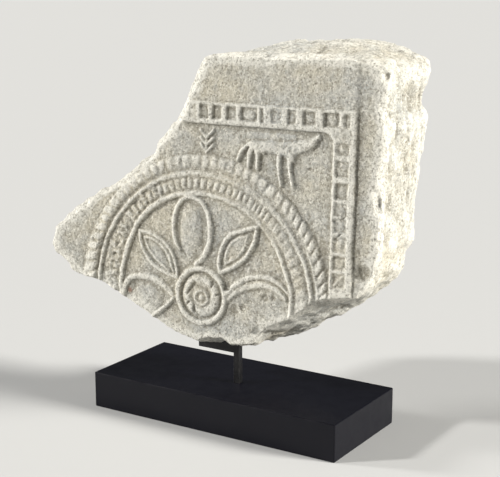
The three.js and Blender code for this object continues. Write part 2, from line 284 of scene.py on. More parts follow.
WAVES = ((1.6, 1.7, 9), (1.1, 0.8, -14))  # mm in and out, radians to a corner, radians from front to back
BELLY_U, BELLY_REACH, BELLY_DROP, BELLY_TOP = -15, 22, 9, -90


def moved(outline, distance):
    """The outline moved along its own normals, outwards where the distance is positive."""
    along = np.roll(outline, -1, axis=0) - np.roll(outline, 1, axis=0)
    along /= np.linalg.norm(along, axis=1)[:, None]
    return outline + np.stack([-along[:, 1], along[:, 0]], 1) * np.reshape(distance, (-1, 1))


def outline_at(share):
    """The outline at a share of the way from the front edge to the back."""
    drawn = OUTLINE[:, :2] * (1 - share) + OUTLINE[:, 2:] * share
    corner = np.arange(len(drawn))
    waves = sum(reach * np.sin(turn * corner + run * share) for reach, turn, run in WAVES)
    sag = np.exp(-(((drawn[:, 0] - BELLY_U) / BELLY_REACH) ** 2)) * BELLY_DROP
    belly = np.where(drawn[:, 1] < BELLY_TOP, sag, 0)
    return moved(drawn, (waves + belly) * math.sin(math.pi * share))


print("outline:", len(OUTLINE), "corners")

# %% [markdown]
# ## The blank
# The mason's blank is a slab with the broken outline. A capped circle with one vertex to each corner is
# pulled into the front outline, and the cap is then extruded back through a few slices. Each vertex
# carries its corner's number, and an extrusion copies that number, so every new ring knows where its
# corners go.

# %% Extrude the slab through its slices
SLICES = (0.06, 0.3, 0.62, 0.94)


def place_ring(vertices, number, outline, n):
    """Puts each vertex on its own corner of the outline."""
    for vertex in vertices:
        vertex.co = (*outline[vertex[number]], n)


blank = bmesh.new()
number = blank.verts.layers.int.new("corner")
first = bmesh.ops.create_circle(blank, cap_ends=True, segments=len(OUTLINE), radius=1)["verts"]
for i, vertex in enumerate(first):
    vertex[number] = i
place_ring(first, number, moved(outline_at(0), -SPALL), GROUND)
cap = blank.faces[:][0]
rings = [(outline_at(s), GROUND + (BACK - GROUND) * s) for s in SLICES]
rings.append((moved(outline_at(1), -SPALL), BACK))
for level, (outline, n) in enumerate(rings):
    pulled = bmesh.ops.extrude_face_region(blank, geom=[cap])["geom"]
    if level > 0:
        bmesh.ops.delete(blank, geom=[cap], context="FACES_ONLY")
    cap = next(part for part in pulled if isinstance(part, bmesh.types.BMFace))
    place_ring([part for part in pulled if isinstance(part, bmesh.types.BMVert)], number, outline, n)
bmesh.ops.recalc_face_normals(blank, faces=blank.faces[:])
print("blank:", len(blank.faces), "faces,", round(blank.calc_volume() * 1e-6, 2), "litres")

# %% [markdown]
# ## An even skin of small faces
# Carving needs vertices everywhere, evenly spread. A voxel remesh gives that: it wraps the slab in square
# faces of one size. The sides and the back keep that size, and only the front is divided once more,
# because that is where the detail is. This keeps the whole stone well under 200,000 triangles.

# %% Remesh the blank and divide its front
VOXEL = 2.3  # mm
FRONT_TILT, FRONT_DEPTH = 0.8, 2  # a front face looks forwards and lies this near the ground


def settled(thing):
    """Applies an object's modifiers to its mesh."""
    graph = bpy.context.evaluated_depsgraph_get()
    mesh = bpy.data.meshes.new_from_object(thing.evaluated_get(graph))
    thing.modifiers.clear()
    thing.data = mesh


stone = mesh_object("carved_stone", blank)
remesh = stone.modifiers.new("even skin", "REMESH")
remesh.mode = "VOXEL"
remesh.voxel_size = VOXEL
settled(stone)
skin = bmesh.new()
skin.from_mesh(stone.data)
front_level = GROUND - FRONT_DEPTH
front = [f for f in skin.faces if f.normal.z > FRONT_TILT and f.calc_center_median().z > front_level]
edges = list({e for f in front for e in f.edges})
bmesh.ops.subdivide_edges(skin, edges=edges, cuts=1, use_grid_fill=True)
skin.to_mesh(stone.data)
skin.free()
print("skin:", len(stone.data.vertices), "vertices,", len(front), "front faces before dividing")

# %% [markdown]
# ## Tools for carving
# The relief is a height over the flat face, worked out at every front vertex at once. Three ideas are
# enough: a form *stands* out of the ground, a form is *sunk* into what is there, and a *stroke* is the
# distance to a curved line whose half width changes along it, like the path of a broad chisel. `crown`
# turns such a distance into a rounded cross-section. A height map drawn as a picture would be the usual
# way, but heights from named places stay sharp and can be read.

# %% Carving tools
def step(x, low, high):
    """0 below low, 1 above high, smooth between."""
    share = np.clip((x - low) / (high - low), 0, 1)
    return share * share * (3 - 2 * share)


def strip(x, low, high, soft):
    """1 between low and high, with soft edges."""
    return step(x, low - soft / 2, low + soft / 2) * (1 - step(x, high - soft / 2, high + soft / 2))


def crown(ratio, square=2.5):
    """A rounded section: 1 on the middle line, 0 at the edge. A larger `square` makes it flatter on top."""
    return np.clip(1 - np.abs(ratio) ** square, 0, 1) ** 0.6


CURVE_PARTS = 6  # straight parts from one given point to the next


def curve(points):
    """A smooth curve through the points, which may carry further values such as a width."""
    p = np.array(points, float)
    if len(p) < 3:
        return p
    p = np.vstack([2 * p[0] - p[1], p, 2 * p[-1] - p[-2]])
    t = np.linspace(0, 1, CURVE_PARTS, endpoint=False)[:, None]
    made = []
    for a, b, c, d in zip(p, p[1:], p[2:], p[3:]):
        slope, bend, twist = (c - a) / 2, a - 2.5 * b + 2 * c - d / 2, 1.5 * (b - c) + (d - a) / 2
        made.append(b + t * slope + t**2 * bend + t**3 * twist)
    return np.vstack([*made, p[-2]])


ROUGH_FALL, ROUGH_STEP = 0.8, 2.1  # how fast the finer lumps get weaker, and how much finer each layer is


def rough(points, size, octaves=3):
    """Smooth random lumps of about that size, from about -1 to 1. Points moved aside give other lumps."""
    return np.array([noise.fractal(p, ROUGH_FALL, ROUGH_STEP, octaves) for p in (points / size).tolist()])


FAR = 9.0  # further off than this many half widths doesn't count


class Face:
    """The carved face: the place of each of its vertices, and the height that the carving gives it."""

    def __init__(self, u, v):
        self.u, self.v = u, v
        self.height = np.full(len(u), float(GROUND))

    def stand(self, shape, crest):
        """Raises the face to the crest where the shape is 1, and less where it is lower."""
        self.height = np.maximum(self.height, GROUND + (crest - GROUND) * shape)

    def sink(self, shape, floor):
        """Cuts the face down to the floor where the shape is 1."""
        self.height += np.minimum(floor - self.height, 0) * shape

    def stroke(self, points):
        """Each vertex's distance to a curve of (u, v, half width), as a share of the half width."""
        line = curve(points)
        nearest = np.full(len(self.u), FAR)
        for (u0, v0, half0), (u1, v1, half1) in zip(line, line[1:]):
            du, dv = u1 - u0, v1 - v0
            t = np.clip(((self.u - u0) * du + (self.v - v0) * dv) / (du * du + dv * dv), 0, 1)
            away = np.hypot(self.u - u0 - t * du, self.v - v0 - t * dv)
            nearest = np.minimum(nearest, away / (half0 + t * (half1 - half0)))
        return nearest

    def ridge(self, points, crest, square=2.5):
        """A rounded bar along a line of (u, v, half width)."""
        self.stand(crown(self.stroke(points), square), crest)

    def oval(self, u, v, half_u, half_v, turn=0):
        """Each vertex's distance to the middle of an oval, as a share of its size."""
        a = math.radians(turn)
        du, dv = self.u - u, self.v - v
        along = (du * math.cos(a) + dv * math.sin(a)) / half_u
        across = (dv * math.cos(a) - du * math.sin(a)) / half_v
        return np.hypot(along, across)

    def block(self, u0, u1, v0, v1, soft=1.6):
        """1 inside a rectangle, with soft edges."""
        return strip(self.u, u0, u1, soft) * strip(self.v, v0, v1, soft)


def read_points(mesh, what="co"):
    """The places of a mesh's vertices, or their normals, one to a row."""
    values = np.zeros(len(mesh.vertices) * 3, np.float32)
    mesh.vertices.foreach_get(what, values)
    return values.reshape(-1, 3).astype(float)


points = read_points(stone.data)
normals = read_points(stone.data, "normal")
CARVED_TILT, CARVED_DEPTH = 0.6, 3
on_front = (normals[:, 2] > CARVED_TILT) & (points[:, 2] > GROUND - CARVED_DEPTH)
UNSTEADY, UNSTEADY_SIZE = 0.6, 12  # how far and over what length the carver's hand strays
shaken = [rough(points[on_front] + shift, UNSTEADY_SIZE, 2) * UNSTEADY for shift in (0, 100)]
face = Face(points[on_front, 0] + shaken[0], points[on_front, 1] + shaken[1])
print("face:", on_front.sum(), "vertices to carve")

# %% [markdown]
# ## The border
# A raised band with sunk square cells runs along the top of the field and turns down on the right round a
# rounded inner corner. The cells were cut by eye: no two have the same width, some are hardly sunk, and
# two hold a raised square. Beyond the band on the right runs one deep, straight groove. A boolean for
# each cell would cut edges that are too sharp for old stone, so each is a soft dip in the height.

# %% Carve the border
BAND_INNER_U, BAND_INNER_V, BAND_RIGHT, BAND_TOP, BAND_CORNER = 116.3, 115.4, 139, 137, 11
BAND_CREST, MARGIN_CREST = -0.4, -2.2
CELL_LOW, CELL_HIGH = 120.5, 133.6  # of the top row, in v
CELL_LEFT, CELL_RIGHT = 120.2, 132.8  # of the row on the right, in u
CELL_MIDDLE = 127  # of both rows
TOP_CELLS = (  # left, right, floor
    (-40, -33, -1.3), (-27.6, -19, -3.2), (-13.6, -4.5, -3.6), (2, 12.5, -3.2), (39.2, 42.7, -2.8),
    (51.2, 62, -1.9), (68.6, 77, -3.0), (85, 97, -3.4), (127.6, 133, -2.8),
)
SIDE_CELLS = (  # bottom, top, floor
    (95, 106.5, -2.3), (75, 90, -2.7), (54, 69, -3.2), (38, 50.5, -2.5), (23, 35.5, -2.8), (4, 19.5, -2.3),
    (-12.5, 0.5, -2.7), (-30, -16, -2.5),
)
PAD_FROM = -2  # only cells of the top row that are deeper than this hold a low pad
TOP_PAD_HALF, TOP_PAD_RISE = 6, 0.8
SIDE_PAD_HALF, SIDE_PAD_RISE, SIDE_CELL_SOFT = 5.4, 1.0, 2.2

corner_u = np.maximum(face.u - (BAND_INNER_U - BAND_CORNER), 0)
corner_v = np.maximum(face.v - (BAND_INNER_V - BAND_CORNER), 0)
past_inner = np.hypot(corner_u, corner_v) - BAND_CORNER  # how far a point is past the band's inner edge
band = step(past_inner, -0.9, 0.9) * (1 - step(face.u, BAND_RIGHT - 0.6, BAND_RIGHT + 1.6))
above_band = step(face.v, BAND_TOP - 1, BAND_TOP + 1.5)
band *= 1 - above_band
margin = above_band * (1 - step(face.u, BAND_RIGHT - 4, BAND_RIGHT + 4))
face.stand(margin, MARGIN_CREST)
face.stand(band, BAND_CREST)
for left, right, deep in TOP_CELLS:
    face.sink(face.block(left, right, CELL_LOW, CELL_HIGH), deep)
    pad = face.oval((left + right) / 2, CELL_MIDDLE, (right - left) / 2, TOP_PAD_HALF)
    face.stand(crown(pad, 3) * (deep < PAD_FROM), deep + TOP_PAD_RISE)
for low, high, deep in SIDE_CELLS:
    face.sink(face.block(CELL_LEFT, CELL_RIGHT, low, high, SIDE_CELL_SOFT), deep)
    pad = face.oval(CELL_MIDDLE, (low + high) / 2 - 0.6, SIDE_PAD_HALF, (high - low) / 2 - 1)
    face.stand(crown(pad, 3), deep + SIDE_PAD_RISE)
print("border:", len(TOP_CELLS) + len(SIDE_CELLS), "plain cells")

# %% Two special cells, scratches and the deep groove on the right
OWN_CELLS = (  # left, right, floor; then the square in it: u, v, half width and height, sharpness, crest
    (18, 35.3, -3.4, 27, 126.5, 7, 5.4, 5, -1.5), (106, 122, -4.2, 115, 127, 5.6, 5.5, 3, -2.2),
)
CELL_SCRATCHES = ([(120, 32.5, 1.1), (126, 34, 1.3), (131, 38, 1)], [(120.5, 16, 1), (127, 21.5, 1)])
SCRATCH_FLOOR, BAR_CREST, DEEP_GROOVE_FLOOR = -2.8, -0.9, -6.2
LOWEST_CELL_BAR = [(121, -29, 1.4), (127, -22, 1.8), (131, -18, 1.4)]
DEEP_GROOVE = [(142, 139, 2.2), (142.4, 60, 3.2), (142.2, 0, 3.2), (144, -18, 2.6), (149, -33, 2)]

for left, right, deep, u, v, half_u, half_v, square, crest in OWN_CELLS:
    face.sink(face.block(left, right, CELL_LOW, CELL_HIGH, 2), deep)
    face.stand(crown(face.oval(u, v, half_u, half_v), square), crest)
for scratch in CELL_SCRATCHES:
    face.sink(crown(face.stroke(scratch)), SCRATCH_FLOOR)
face.ridge(LOWEST_CELL_BAR, BAR_CREST)
face.sink(crown(face.stroke(DEEP_GROOVE)), DEEP_GROOVE_FLOOR)
print("border: height from", round(face.height.min(), 1), "to", round(face.height.max(), 1))

# %% [markdown]
# ## The wheel
# Four rings go round one centre: a plain fillet, a thin cable, a second fillet and a fat cable, with a
# third, thin fillet between the last two on the right. In a frame of radius and angle each ring is a
# strip, and each cable is a row of beads. The carver had no compass: the rings swell and drift by a few
# millimetres, so their radii are given at a few angles and run smoothly between them. The gaps between
# the beads lean over like the strands of a rope, so a bead's place is measured along lines that lean. The
# angles of the gaps are counted on the real stone. An array modifier would space the beads evenly, which
# this carver didn't.

# %% The wheel's own coordinates
WHEEL_U, WHEEL_V = -22.7, -54.5
radius = np.hypot(face.u - WHEEL_U, face.v - WHEEL_V)
angle = (np.degrees(np.arctan2(face.v - WHEEL_V, face.u - WHEEL_U)) + 90) % 360 - 90


def around(*pairs):
    """A value round the wheel that is given at a few angles, in degrees from the right."""
    angles, values = zip(*pairs)
    return np.interp(angle, angles, values)


def ring(middle, half, crest, square=2.5):
    """A rounded hoop round the wheel's centre."""
    face.stand(crown((radius - middle) / half, square), crest)


SHADOW_SHIFT = 0.4  # a gap looks shifted by its shadow, in degrees


def beads(gaps, over, crest, lean, gap_width, square=4):
    """A row of beads. `over` runs from -1 to 1 across it, and gap_width is a share of the pitch."""
    at = angle + SHADOW_SHIFT - lean * over
    along = np.abs(np.interp(-at, -np.array(gaps), np.arange(len(gaps))) % 1 - 0.5) * 2 / (1 - gap_width)
    face.stand(crown(along, 5) * crown(over, square), crest)


inner_fillet = around(
    (0, 99.3), (10, 99.3), (20, 98.2), (50, 99.5), (90, 100.3), (115, 101.8), (138, 101.6), (150, 98.9),
    (165, 97.3), (180, 98.8), (190, 98)
)
outer_fillet = around(
    (5, 121.2), (20, 121), (30, 119.8), (80, 119.2), (95, 120.2), (110, 121.2), (135, 121.8), (150, 123),
    (165, 124.8), (180, 126)
)
fat_cable = around(
    (5, 134.4), (20, 134.2), (35, 133.3), (60, 132.2), (90, 132), (120, 132.4), (140, 132.6), (150, 133),
    (165, 133.8), (180, 134.4)
)
fat_inner_half = around((30, 6.4), (90, 7), (130, 6), (180, 5))
fat_outer_half = around((30, 6.4), (90, 7), (125, 7.5), (140, 8), (150, 9.5), (165, 12.5), (180, 13.5))
across_fat = (radius - fat_cable) / np.where(radius > fat_cable, fat_outer_half, fat_inner_half)
print("wheel: radius up to", round(radius.max()), "mm from its centre")

# %% Carve the fillets
WHEEL_FIELD, FIELD_EDGE = -3.6, (94, 99)
THIRD_FILLET, THIRD_HALF = 128.4, 1.9
GROOVE, GROOVE_FLOOR, GROOVE_ENDS = (116.5, 118.6), -3.6, (14, 28)  # inside the second fillet, on the right
rings_ground = around((10, -3.5), (40, -3.0), (110, -2.9), (150, -3.4))
inner_half = around((60, 3), (120, 3.2), (180, 3.4))
inner_crest = around((0, -1), (12, -0.7), (26, -0.9), (42, -2.2), (66, -2.2), (80, -1.1), (100, -0.5))
outer_half = around((0, 2.8), (35, 3), (60, 4), (100, 3.6), (120, 2.8), (180, 2.6))
outer_crest = around((20, -0.8), (60, -1.9), (90, -1.2), (150, -0.6))

face.stand(1 - step(radius, *FIELD_EDGE), WHEEL_FIELD)
face.stand(strip(radius, inner_fillet, fat_cable + 4, 3), rings_ground)
ring(inner_fillet, inner_half, inner_crest, 3)
ring(outer_fillet, outer_half, outer_crest, 3)
ring(THIRD_FILLET, THIRD_HALF, around((0, -1), (22, -1), (36, -3.5)))
face.sink(strip(radius, *GROOVE, 1.2) * (1 - step(angle, *GROOVE_ENDS)), GROOVE_FLOOR)
print("fillets: 3, the first", round(inner_fillet.mean(), 1), "mm from the centre")

# %% Carve the cables
THIN_GAPS = (  # degrees
    197, 192, 187, 183, 178.5, 174.5, 170.5, 166.5, 163, 159, 155, 151.5, 147.5, 143.5, 139.5, 135.5,
    131.5, 127.5, 123.5, 119.7, 116, 112.3, 108.4, 104.5, 100.7, 97.3, 93.3, 89, 85, 81.3, 77.2, 73.3,
    70.2, 67, 63.7, 60, 57.4, 54.8, 51.6, 48.4, 44.3, 40, 35.4, 30.7, 26, 21, 15.6, 10, 5, 0, -5,
)
FAT_GAPS = (  # degrees
    196, 191.5, 187, 182.5, 177.8, 172.8, 167.6, 163.3, 158.8, 154.2, 149.6, 145, 140.4, 136, 131.5, 127,
    122.8, 118.5, 114.3, 110.3, 106.3, 101.8, 97, 92, 87.7, 83.7, 79.7, 75.4, 71, 67.2, 63, 58.4, 53.5,
    49, 45, 41, 37.2, 33, 29.4, 25.2, 20.7, 16, 11.5, 7.5, 3, -2,
)
thin_lean = around((0, 1), (40, 0.8), (55, 0.3), (65, 0), (85, -0.7), (100, -0.2), (120, 0), (180, 0.6))
fat_lean = around((0, 2), (20, 1.9), (40, 1.4), (52, 0.5), (60, 0), (110, 0), (150, 0.9), (180, 2))
thin_middle = (inner_fillet + outer_fillet) / 2
thin_half = (outer_fillet - inner_fillet) / 2 - around((30, 4.8), (60, 4.8), (120, 4.8), (160, 5.4))
face_points = np.stack([face.u, face.v, np.zeros(len(face.u))], 1)
wear = rough(face_points, 11)
THIN_GAP_SHARE, FAT_GAP_SHARE = 0.13, 0.1
thin_crest = around((0, -1.9), (40, -1.7), (50, -1.2), (110, -1.1), (135, -1.4), (150, -2.0), (180, -2.1))
thin_floor = around((0, -2.8), (40, -2.7), (60, -2.9), (110, -3.0), (140, -3.4), (180, -3.4))
fat_crest = around(
    (0, -0.7), (40, -0.7), (56, -1.2), (70, -1.7), (110, -1.4), (130, -0.6), (150, 0.4), (180, 0.9)
)
fat_floor = around((0, -3.0), (45, -2.8), (60, -2.7), (110, -2.5), (135, -1.4), (180, -1.2))
fat_square = around((30, 2.6), (60, 3.5), (110, 3.2), (150, 1.7), (180, 1.5))
face.stand(crown((radius - thin_middle) / (thin_half + 1.5), 4), thin_floor)
across_thin = (radius - thin_middle) / (thin_half + 1)
beads(THIN_GAPS, across_thin, thin_crest - 0.5 * wear, thin_lean, THIN_GAP_SHARE)
face.stand(crown(across_fat, fat_square), fat_floor)
beads(FAT_GAPS, across_fat, fat_crest - 0.35 * wear, fat_lean, FAT_GAP_SHARE, fat_square)
print("cables:", len(THIN_GAPS), "and", len(FAT_GAPS), "gaps")

# %% Eroded pits in the thin cable on the left
ERODED = (  # angle, radius, half width, half height
    (165.5, 110.5, 2.7, 2.0), (160, 111, 2.6, 1.6), (163, 103.3, 2.0, 1.7), (157, 103, 2.2, 1.6),
    (175.5, 103.5, 2, 1.6), (178, 109, 2, 2.2), (170, 106.5, 1.6, 2), (151, 110, 1.8, 2.4),
    (128, 108, 2.2, 1.6), (116.4, 108.5, 1.8, 2.2),
)
PIT_FLOOR = -4.2
for at, far, half_u, half_v in ERODED:
    pit_u = WHEEL_U + far * math.cos(math.radians(at))
    pit_v = WHEEL_V + far * math.sin(math.radians(at))
    face.sink(crown(face.oval(pit_u, pit_v, half_u, half_v, at - 90), 2), PIT_FLOOR)
print("erosion:", len(ERODED), "pits")

# %% [markdown]
# ## Petals, leaves and hub
# The rosette is drawn with strokes, as a carver would outline it: a hoop round a swelling middle for the
# top petal, two leaves with a fold inside each, and two arches that the break cuts off. The hub is a ring
# round a small whirl with an eye. Each stroke is a few given points with a half width, and a smooth curve
# joins them.

# %% Carve the rosette
SWELLINGS = (  # u, v, half width, half height, turn, sharpness, crest
    (-37.5, 7.5, 14, 29, 0, 2.5, -1.0), (-89, -71, 20, 18, -12, 2.5, -1.3),
    (-75.5, -20, 19, 5, -44, 2.5, -1.7), (16, -5, 10.5, 23, -38, 3, -2.2),
)
ROSETTE = {  # the crest, and the line as u, v and half width
    "top petal": (-0.4, [
        (-50, -13, 1.6), (-55.5, -4, 2.8), (-57.5, 8, 3), (-56.6, 20, 3), (-53, 31, 3), (-46.5, 38.5, 3),
        (-38, 41, 3), (-29, 39.5, 3), (-22, 34, 3.2), (-17, 24, 3.4), (-14.8, 12, 3.6), (-15, 1, 3.6),
        (-18, -10, 3.6), (-24, -20, 3.4), (-31.5, -26, 2.6)
    ]),
    "left arch": (-0.5, [
        (-119, -70, 3.4), (-115.3, -56.5, 3.8), (-107, -48.4, 3.9), (-95, -46, 3.9), (-83, -46.8, 4),
        (-71, -51.3, 4), (-59, -59.6, 3.6)
    ]),
    "left arch, lower line": (-0.5, [
        (-56, -62.5, 2.4), (-63, -71, 2.5), (-73, -79.5, 2.7), (-86, -90, 2.8)
    ]),
    "right arch": (-0.6, [
        (4, -53, 3), (12, -44.5, 3.6), (24, -35.3, 3.6), (38, -30.4, 3.4), (52, -30, 3), (64, -34, 2.4),
        (73, -41.5, 1.6)
    ]),
    "right arch, inner line": (-1.0, [
        (7.5, -56.5, 2.8), (17, -47.5, 4), (30, -40.6, 4.4), (44, -37.6, 4.4), (57, -38.6, 3.8),
        (66, -43.5, 2.6), (71, -49, 1.4)
    ]),
    "left leaf, upper edge": (-0.5, [
        (-98.5, 1, 2.2), (-86, -0.6, 2.5), (-73, -5.2, 2.6), (-62.5, -13.5, 2.6), (-55.5, -26, 2.6),
        (-52.5, -42, 2.2)
    ]),
    "left leaf, lower edge": (-0.9, [
        (-98.5, 1, 2.2), (-97, -11, 2.4), (-90.5, -24, 2.6), (-77, -35, 2.8), (-53, -43, 2.4)
    ]),
    "left leaf, upper fold": (-0.9, [
        (-92.5, -5.5, 1.5), (-84, -5.6, 2), (-72.5, -11, 2.2), (-63.5, -21, 2.3), (-57.8, -36, 1.8)
    ]),
    "left leaf, lower fold": (-1.1, [
        (-92.5, -6.5, 1.5), (-86.5, -17, 2.2), (-77, -26.5, 2.4), (-63, -36, 2)
    ]),
    "right leaf, upper edge": (-0.4, [
        (-3, -31, 2.4), (-3.7, -17, 2.6), (1, -2, 2.8), (12, 9.5, 2.8), (38, 19, 2.4)
    ]),
    "right leaf, lower edge": (-0.2, [
        (38, 19, 2.4), (35.8, 5, 2.8), (28.5, -9.3, 3), (16, -21.3, 3), (-2, -31, 2.4)
    ]),
    "right leaf, upper fold": (-1.3, [
        (3, -21.5, 1.5), (4.6, -9.5, 2), (12.5, 2, 2), (27, 9.5, 1.5)
    ]),
    "right leaf, lower fold": (-1.4, [
        (27, 9.5, 1.5), (25, -1.5, 2), (16.5, -12.8, 2), (3, -21.5, 1.5)
    ]),
}

for u, v, half_u, half_v, turn, square, crest in SWELLINGS:
    face.stand(crown(face.oval(u, v, half_u, half_v, turn), square), crest)
for crest, line in ROSETTE.values():
    face.ridge(line, crest)
print("rosette:", len(SWELLINGS), "swellings,", len(ROSETTE), "ridges")

# %% Carve the hub and the pit beside it
HUB_U, HUB_V, HUB_RIM, HUB_RIM_HALF = -24.5, -57.5, 27.6, 3.5
HUB_BED, HUB_GROOVE, HUB_RING, HUB_RING_HALF = 31.5, (21.8, 24.2), 16.4, 5.6
EYE_U, EYE_V, EYE_RING, EYE_RING_HALF, EYE = -24, -59.5, 7.3, 2.0, 3.6
HUB_SLITS = (
    [(-40, -57, 0.9), (-36.5, -51, 1.9), (-31.5, -45, 1.6)], [(-12.5, -47, 0.9), (-10.5, -41.5, 1.5)],
    [(-32.5, -66, 0.8), (-31.8, -74, 1.7), (-26, -77.5, 1.1)], [(-38, -65, 0.9), (-42, -69, 1)],
    [(-7, -55, 0.8), (-3.5, -53.5, 1.2)], [(-15.5, -56, 0.8), (-17.5, -64.5, 1.3), (-23, -69, 1)],
)
RIM_PARTS = 16
RIM_CREST, BED_CREST, RING_CREST, EYE_RING_CREST, EYE_CREST = -0.3, -3, -0.9, -1.2, -0.8
HUB_GROOVE_FLOOR, HUB_SLIT_FLOOR = -4.6, -4.2
DEEP_PIT, DEEP_PIT_FLOOR = (1.5, 8.5, -48, -35.5), -8.5  # left, right, low and high, right of the hub

hub_radius = np.hypot(face.u - HUB_U, face.v - HUB_V)
eye_radius = np.hypot(face.u - EYE_U, face.v - EYE_V)
turns = np.linspace(0, 2 * math.pi, RIM_PARTS + 1)
rim = [(HUB_U + HUB_RIM * math.cos(t), HUB_V + HUB_RIM * math.sin(t), HUB_RIM_HALF) for t in turns]
face.stand(crown(hub_radius / HUB_BED, 8), BED_CREST)
face.sink(strip(hub_radius, *HUB_GROOVE, 1.6), HUB_GROOVE_FLOOR)
face.stand(crown((hub_radius - HUB_RING) / HUB_RING_HALF), RING_CREST)
for slit in HUB_SLITS:
    face.sink(crown(face.stroke(slit)), HUB_SLIT_FLOOR)
face.stand(crown((eye_radius - EYE_RING) / EYE_RING_HALF), EYE_RING_CREST)
face.stand(crown(eye_radius / EYE), EYE_CREST)
face.ridge(rim, RIM_CREST)
face.sink(face.block(*DEEP_PIT), DEEP_PIT_FLOOR)
print("hub: radius", round(HUB_RIM + HUB_RIM_HALF, 1), "mm with", len(HUB_SLITS), "slits")

# %% [markdown]
# ## The little tree and the beast
# Between the wheel and the border stand a tree of three chevrons on a stem, and a four-footed beast that
# walks to the right with its head up against the border. Both are flat and simple. Strokes with changing
# half width give the beast its barrel, neck, tail and tapering legs, and dark slots are cut between the
# legs afterwards, as a chisel would.

# %% Carve the tree and the beast
TREE_U, TREE_CREST, TREE_JOINTS, TREE_STEM = -21.5, -1.7, (101, 94, 87), (86, 104)
for joint in TREE_JOINTS:
    face.ridge([(TREE_U, joint, 1.3), (TREE_U + 8, joint + 8, 1.7)], TREE_CREST, 2)
    face.ridge([(TREE_U, joint, 1.3), (TREE_U - 6.5, joint + 8, 1.5)], TREE_CREST - 0.3, 2)
face.ridge([(TREE_U, v, 1.3) for v in TREE_STEM], TREE_CREST - 0.8, 2)

BEAST_CREST, OVER_BACK_CREST, SLOT_FLOOR, HEAD_SLOT_FLOOR = -1.1, -2.8, -5.0, -5.6
BEAST = {
    "barrel": [(31, 97.5, 5.5), (47, 97.5, 6.4), (62, 97.5, 7), (72, 96, 8)],
    "rump": [(30, 93, 5), (42, 94.5, 5)],
    "chest": [(70, 97, 8), (72.5, 88, 5)],
    "neck": [(70, 97, 8), (82, 100.5, 6.4), (91, 103, 5.2), (98, 106.5, 4.6), (102, 111.5, 1.6)],
    "tail": [(27, 99, 2.2), (19, 92.5, 2.1), (14.8, 82, 1.8)],
    "near_hind_leg": [(36.6, 92, 3), (36.6, 84, 2.5), (36, 76, 2.1)],
    "far_hind_leg": [(27.5, 92, 3), (27, 85, 2.6), (26.5, 77, 2.2)],
    "near_fore_leg": [(71, 90, 4), (71.3, 78, 2.3), (75, 62, 2.3)],
    "far_fore_leg": [(59.4, 92, 2.8), (60, 78, 2.4), (62.5, 62, 2)],
}
for limb in BEAST.values():
    face.ridge(limb, BEAST_CREST, 3)
OVER_THE_BACK = [(27, 107.5, 4), (52, 107, 4.5), (74, 108, 4.5)]
face.ridge(OVER_THE_BACK, OVER_BACK_CREST, 2)
BEAST_SLOTS = (
    [(25.8, 96.5, 0.7), (22.6, 90, 1.8), (19, 82, 1.4)], [(32, 93, 0.8), (32, 84, 1.6), (31.5, 77, 1.4)],
    [(40.5, 90.5, 0.9), (42.3, 83, 1.8), (41.5, 76, 1.5), (38.8, 78.5, 1)],
    [(64.5, 87, 0.9), (65.3, 78, 1.8), (67.5, 63, 1.8)], [(45, 90.5, 0.7), (57, 90, 0.7)],
)
for slot in BEAST_SLOTS:
    face.sink(crown(face.stroke(slot)), SLOT_FLOOR)
UNDER_THE_HEAD = [(101.5, 107.5, 1), (100.2, 103, 2.2), (96, 99, 1.4)]
face.sink(crown(face.stroke(UNDER_THE_HEAD), 2), HEAD_SLOT_FLOOR)
print("beast:", len(BEAST), "strokes,", len(BEAST_SLOTS), "slots")

# %% [markdown]
# ## Weather and breaks
# Long weathering blunts everything. The height gets slow lumps and small pits, more of them on the left
# of the wheel, chips are bitten out of it, and all of it is flattened a little. The edge of the face is
# broken off in a slope: narrow all round, wide on the left, and ragged on the right, where its width
# wanders. On the sides and the back the skin moves along its own normals: big soft facets, then coarse
# and fine roughness, less of it on the dressed back, and a few long slits in the broken right side. A
# displace modifier could do part of this, but the breaks follow the outline, which only the script has.

# %% Weather the face
def distance_to_line(line, u, v):
    """How far each point is from a line of straight pieces."""
    away = np.full(len(u), 1e9)
    for (u0, v0), (u1, v1) in zip(line, line[1:]):
        du, dv = u1 - u0, v1 - v0
        t = np.clip(((u - u0) * du + (v - v0) * dv) / (du * du + dv * dv), 0, 1)
        away = np.minimum(away, np.hypot(u - u0 - t * du, v - v0 - t * dv))
    return away


CHIPS = (  # u, v, reach, depth of bites out of the face
    (151, -14, 11, 5), (120, -50, 10, 2.5), (23, -64, 6, 2.5), (48, -51, 5, 2), (57, -50, 4, 1.6),
    (40, -86, 8, 3), (14, -68, 9, 1.6), (30, -58, 7, 1.2), (92, 79.5, 2.2, 1.6), (79, 105, 1.8, 1.4),
    (-21, 121, 1.6, 1.6),
)
LUMP_SIZE, LUMP_HEIGHT, PIT_SIZE, PIT_HEIGHT, PIT_EXTRA = 9, 0.35, 3.4, 0.4, 0.8
CREST_LEVEL, FLATTENED = -0.4, 0.72

lumps = rough(face_points, LUMP_SIZE)
pits = rough(face_points + 300, PIT_SIZE)
worn_rings = 0.9 * strip(radius, 102, 150, 8) + 1.6 * strip(radius, 104, 120, 4)
eroded = 1 + step(-face.u, 55, 100) * worn_rings
face.height += eroded * (LUMP_HEIGHT * lumps + PIT_HEIGHT * pits) - PIT_EXTRA * np.clip(-pits - 0.4, 0, 1)
for u, v, reach, deep in CHIPS:
    bite = np.clip(1 - face.oval(u, v, reach, reach) + 0.25 * lumps, 0, 1)
    face.height -= deep * step(bite, 0, 0.7)
face.height = CREST_LEVEL + (face.height - CREST_LEVEL) * FLATTENED
points[on_front, 2] = face.height
print("face: height from", round(face.height.min(), 1), "to", round(face.height.max(), 1))

